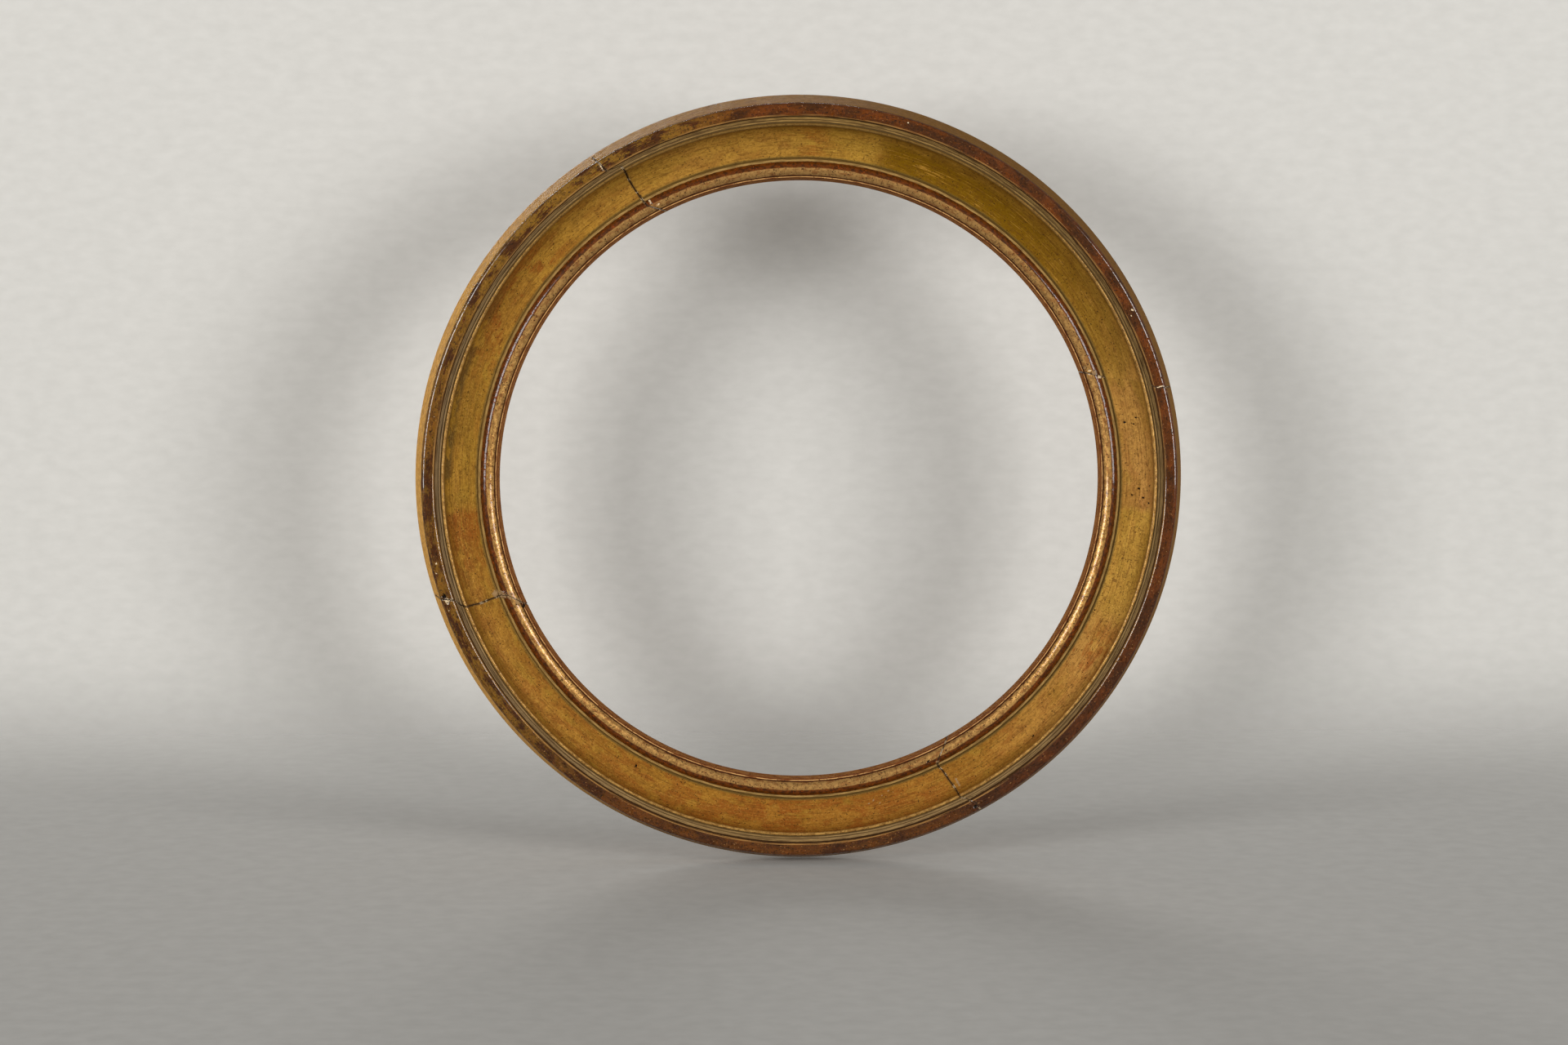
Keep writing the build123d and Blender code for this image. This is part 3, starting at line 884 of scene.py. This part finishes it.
def peg_pair(name, joint):
    """The two pegs of one lap, each a whittled stick with a worn edge at its cut end."""
    middle = seam_angles[joint] - math.copysign(lap_turn, seam_leans[joint]) / 2
    half_spread = math.degrees(peg_spacing / 2 / peg_circle)
    vertices, faces, grain, rim = [], [], [], []
    chance = np.random.default_rng(40 + joint)
    for place in (middle - half_spread, middle + half_spread):
        centre = peg_circle * np.array([math.cos(math.radians(place)), 0,
                                        math.sin(math.radians(place))])
        flats = np.linspace(0, 2 * math.pi, peg_flats, endpoint=False)
        flats += chance.uniform(-0.12, 0.12, peg_flats)
        reach = peg_diameter / 2 * chance.uniform(0.93, 0.99, peg_flats)
        proud = peg_proud * chance.uniform(0.5, 1.0)
        tilt = chance.uniform(-0.05, 0.05, 2)

        # Rings of the stick from its tapered end to its cut end: level, and share of its thickness.
        rings = ((-peg_length, 0.72), (-peg_length + 1.2, 0.98), (proud - 0.22, 1.0),
                 (proud - 0.06, 0.965), (proud, 0.9), (proud + 0.01, 0.45))
        base = len(vertices)
        for level, share in rings:
            for turn, length in zip(flats, reach):
                x, z = length * share * math.cos(turn), length * share * math.sin(turn)
                lift = x * tilt[0] + z * tilt[1] if level > -tilted_depth else 0.0
                vertices.append((centre + (x, level + lift, z)) * MILLIMETRE)
                grain.append((x + joint * 31, level, z + place))
                rim.append(share)
        for ring in range(len(rings) - 1):
            for flat in range(peg_flats):
                near = base + ring * peg_flats + flat
                far = base + ring * peg_flats + (flat + 1) % peg_flats
                faces.append((near, near + peg_flats, far + peg_flats, far))
        cut = base + (len(rings) - 1) * peg_flats
        faces.append(list(range(base, base + peg_flats)))
        faces.append(list(reversed(range(cut, cut + peg_flats))))
    pair = shaped(name, vertices, faces, 24)
    label(pair, "grain", grain)
    label(pair, "rim", rim)
    return pair


def end_grain():
    """Oak sawn across: growth rings, open pores and old dirt, and sides painted dark as shade."""
    material, shader, start = finish("peg_end_grain")
    spot = start.read("grain")
    growth = start.node("TexWave", {"wave_type": "BANDS"},
                        {"Vector": spot, "Scale": 0.42, "Distortion": 1.6, "Detail": 2.0})
    pores = spot.noise(2.6, 3.0)
    colour = growth.ramp((0.0, (138, 104, 68)), (1.0, (176, 140, 98))).coats(
        ((48, 33, 22), pores.rise(0.52, 0.7) * 0.7),
        # The peg's sides are painted near black: painted shade of the gap where it stands in the wood.
        ((26, 18, 12), start.read("rim", "Fac").rise(0.92, 0.98)))
    relief = (pores - 0.5) * 0.15 + growth * 0.05
    dress(shader, {"Base Color": colour, "Roughness": pores * 0.2 + 0.6, "Normal": relief.bump()})
    return material


peg_finish = end_grain()
for joint, node in enumerate(peg_names):
    pair = peg_pair("whittled_" + node, joint)
    pair.data.materials.append(peg_finish)
    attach(pair, "frame")
    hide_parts(node)

# Screw eye: wrought wire, cut to a thread on its shank, bent out at the neck and closed round
# almost to the shank again. It is screwed into the back at the top, in line with the centre.

eye_low, eye_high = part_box("hanger_eye")
eye_wire, eye_inner, eye_neck_radius, eye_neck_gap = 2.3, 5.3, 1.5, 0.2
eye_shank, eye_wrap = 11.5, 300.0
thread_pitch, thread_point, plain_shank = 1.1, 3.5, 3.0
wire_sides, shank_steps, neck_steps, eye_steps = 24, 60, 8, 90
eye_height = (eye_low.z + eye_high.z) / 2 / MILLIMETRE
eye_radius = (eye_wire + eye_inner) / 2
neck_turn = math.acos(eye_neck_radius / (eye_radius + eye_neck_radius))
eye_stand_off = eye_neck_gap + math.sqrt((eye_radius + eye_neck_radius) ** 2 - eye_neck_radius**2)


def wire(name, path, closed, radius_at):
    """A round wire along points in space, with its thickness and unevenness from a function."""
    path = [Vector(point) for point in path]
    count = len(path)
    vertices, faces = [], []
    travelled = 0.0
    for index, point in enumerate(path):
        if closed:
            before, after = path[index - 1], path[(index + 1) % count]
        else:
            before, after = path[max(index - 1, 0)], path[min(index + 1, count - 1)]
        if index:
            travelled += (point - path[index - 1]).length
        ahead = (after - before).normalized()
        sideways = Vector((1, 0, 0)) if abs(ahead.x) < 0.9 else Vector((0, 1, 0))
        first = ahead.cross(sideways).normalized()
        second = ahead.cross(first)
        for side in range(wire_sides):
            turn = 2 * math.pi * side / wire_sides
            around = first * math.cos(turn) + second * math.sin(turn)
            vertices.append((point + around * radius_at(travelled, turn)) * MILLIMETRE)
    for index in range(count if closed else count - 1):
        low, high = index * wire_sides, (index + 1) % count * wire_sides
        for side in range(wire_sides):
            beside = (side + 1) % wire_sides
            faces.append((low + side, low + beside, high + beside, high + side))
    if not closed:
        faces.append(list(reversed(range(wire_sides))))
        faces.append(list(range((count - 1) * wire_sides, count * wire_sides)))
    return shaped(name, vertices, faces)


def bend(y, z, radius, first, turn, steps):
    """Points round a centre in the eye's plane, from just after the first angle on."""
    angles = [first + turn * step / steps for step in range(1, steps + 1)]
    return [(0, y + radius * math.cos(angle), z + radius * math.sin(angle)) for angle in angles]


def eye_path():
    """Points of the screw eye's wire from the point of its shank to its free end."""
    points = [(0, -eye_shank + eye_shank * step / shank_steps, eye_height)
              for step in range(shank_steps + 1)]
    points += bend(eye_neck_gap, eye_height + eye_neck_radius, eye_neck_radius,
                   -math.pi / 2, neck_turn, neck_steps)
    first = math.atan2(points[-1][2] - eye_height, points[-1][1] - eye_stand_off)
    return points + bend(eye_stand_off, eye_height, eye_radius,
                         first, -math.radians(eye_wrap), eye_steps)


def eye_thickness(travelled, turn):
    """The wire's radius: a tapering thread on the shank, and light hammer marks on the eye."""
    if travelled < eye_shank - plain_shank:
        taper = 0.35 + 0.65 * min(1.0, travelled / thread_point)
        ridge = abs((travelled / thread_pitch - turn / 2 / math.pi) % 1 - 0.5) * 2
        return eye_wire / 2 * taper * (0.78 + 0.22 * ridge**2)
    marks = math.sin(travelled * 1.9) * math.cos(2 * turn + travelled * 0.7)
    return eye_wire / 2 * (0.975 + 0.025 * marks)


def iron():
    """Wrought wire, blackened by the fire, with brown rust in its low places."""
    material, shader, start = finish("wrought_iron")
    spot = start.node("TexCoord", output="Object")
    rust = spot.noise(420.0, 5.0, 0.65)
    pits = spot.noise(1900.0, 3.0)
    colour = rust.ramp((0.36, (52, 46, 42)), (0.52, (72, 58, 48)), (0.62, (112, 66, 38)),
                       (0.74, (134, 80, 44))).coats(
        ((30, 26, 24), pits.rise(0.55, 0.7) * 0.6))
    relief = rust * 0.08 + pits * 0.05
    dress(shader, {"Base Color": colour, "Metallic": 0.85 - rust.rise(0.5, 0.62) * 0.75,
                   "Roughness": rust.rise(0.4, 0.65) * 0.35 + 0.42, "Normal": relief.bump()})
    return material


iron_finish = iron()
screw_eye = wire("forged_screw_eye", eye_path(), False, eye_thickness)
screw_eye.data.materials.append(iron_finish)
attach(screw_eye, "frame")
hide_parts("hanger_eye")

# Hanging ring: a length of the same wire, bent round and lapped shut with a short scarf, that
# hangs loose in the screw eye and swings over the top of the rim.

ring_low, ring_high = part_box("hanging_ring")
ring_wire, ring_middle, ring_steps = 2.1, 9.5, 160
ring_centre = (ring_low + ring_high) / 2 / MILLIMETRE
scarf_place, scarf_reach = 4.35, 0.42


def ring_thickness(travelled, turn):
    """The wire's radius: hammer marks, and a slight waist where the scarf was closed."""
    place = travelled / ring_middle
    scarf = math.exp(-((place - scarf_place) / scarf_reach) ** 2)
    step = math.tanh((place - scarf_place) * 30) * math.cos(turn - 0.8) * scarf
    marks = math.sin(place * 11) * math.cos(2 * turn + place * 3)
    return ring_wire / 2 * (0.965 + 0.02 * marks + 0.015 * step - 0.03 * scarf)


ring_path = [(ring_centre.x + ring_middle * math.sin(turn), ring_centre.y,
              ring_centre.z + ring_middle * math.cos(turn))
             for turn in np.linspace(0, 2 * math.pi, ring_steps, endpoint=False)]
hanging_ring = wire("forged_hanging_ring", ring_path, True, ring_thickness)
hanging_ring.data.materials.append(iron_finish)
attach(hanging_ring, "hanging_ring")
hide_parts("hanging_ring")

# Floor, backdrop, lamps and camera: a pale floor, a pale wall close behind the rim that fades out
# into the floor, two soft lamps at the left and right, one behind, and a camera at the front.

floor_height = cad_low.z
floor_gap, wall_gap, wall_fade, stage_reach, wall_top = 0.0003, 0.085, 0.1, 4.2, 4.0


def sheet(name, outline):
    """A wide sheet of paper whose outline, seen from its end, is a line of points (y, z)."""
    vertices = [(side * stage_reach, y, z) for side in (-1, 1) for y, z in outline]
    count = len(outline)
    made = shaped(name, vertices, [(i, i + count, i + count + 1, i + 1) for i in range(count - 1)])
    made.visible_glossy = False
    return made


def paper(name, one_sided):
    """Matt pale paper. One-sided paper can't be seen from behind, and fades out at its foot."""
    material, shader, start = finish(name)
    fibre = start.node("TexNoise", None, {"Scale": 900.0, "Detail": 2.0})
    dress(shader, {"Base Color": fibre.ramp((0.3, (186, 184, 179)), (0.7, (192, 190, 185))),
                   "Roughness": 0.9, "Specular IOR Level": 0.0})
    if one_sided:
        behind = start.node("NewGeometry", output="Backfacing")
        height = start.node("NewGeometry").parts()[2]
        foot = 1 - height.rise(floor_height, floor_height + wall_fade)
        clear = start.node("BsdfTransparent")
        seen = Coat(material.node_tree, shader.outputs[0])
        either = start.node("MixShader", None, {0: behind.most(foot), 1: seen, 2: clear})
        dress(material.node_tree.get_output_node("ALL"), {0: either})
    return material


wall = sheet("wall", [(wall_gap, floor_height), (wall_gap, wall_top)])
wall.data.materials.append(paper("wall_paper", one_sided=True))
wall.visible_shadow = False
wall.visible_diffuse = False
floor_top = floor_height - floor_gap
floor = sheet("floor", [(-stage_reach, floor_top), (stage_reach, floor_top)])
floor.data.materials.append(paper("floor_paper", one_sided=False))


def placed(name, data, place, facing):
    """A lamp or a camera at a place in the scene, turned by a quaternion."""
    made = bpy.data.objects.new(name, data)
    made.location = place
    made.rotation_mode = "QUATERNION"
    made.rotation_quaternion = facing
    bpy.context.scene.collection.objects.link(made)
    return made


# Lamps: name, place, width and height in metres, and watts. Each looks at the rim's centre.
lamps = (
    ("lamp_left", (-6.6, -7.05, 1.35), 3.9, 4.8, 886.0),
    ("lamp_right", (6.75, -6.9, 1.35), 3.9, 4.8, 828.0),
    ("lamp_behind", (-0.35, 2.7, 0.5), 1.2, 1.2, 58.0),
)
for name, place, width, height, watts in lamps:
    lamp = bpy.data.lights.new(name, "AREA")
    lamp.shape = "RECTANGLE"
    lamp.size, lamp.size_y, lamp.energy = width, height, watts
    placed(name, lamp, place, (-Vector(place)).to_track_quat("-Z", "Y"))

# A dim, slightly warm world lifts the shadows.
world = bpy.data.worlds.new("studio")
bpy.context.scene.world = world
world.use_nodes = True
dress(world.node_tree.nodes["Background"], {"Color": (1.0, 0.98, 0.95, 1), "Strength": 0.22})

# The camera keeps the photographer's place, and turns until the rim stands where it did.
camera_distance, camera_rise, camera_left, aim_share = 1.6, 5.5, 1.6, 0.7
lens, sensor = 80.0, 36.0
picture_width, picture_height = 1920, 1280
rim_centre = (979.4, 590.9)
camera = bpy.data.cameras.new("camera")
camera.lens, camera.sensor_width = lens, sensor
target = Vector((0, -frame_depth * aim_share * MILLIMETRE, 0))
rise, left = math.radians(camera_rise), math.radians(camera_left)
away = Vector((-math.sin(left) * math.cos(rise), -math.cos(left) * math.cos(rise), math.sin(rise)))
focal = lens / sensor * picture_width
facing = (-away).to_track_quat("-Z", "Y").to_matrix()
turn_right = math.atan((picture_width / 2 - rim_centre[0]) / focal)
turn_down = math.atan((picture_height / 2 - rim_centre[1]) / focal)
facing = facing @ Matrix.Rotation(-turn_right, 3, "Y") @ Matrix.Rotation(-turn_down, 3, "X")
bpy.context.scene.camera = placed("camera", camera, target + away * camera_distance,
                                  facing.to_quaternion())

bpy.context.scene.view_settings.view_transform = "Standard"
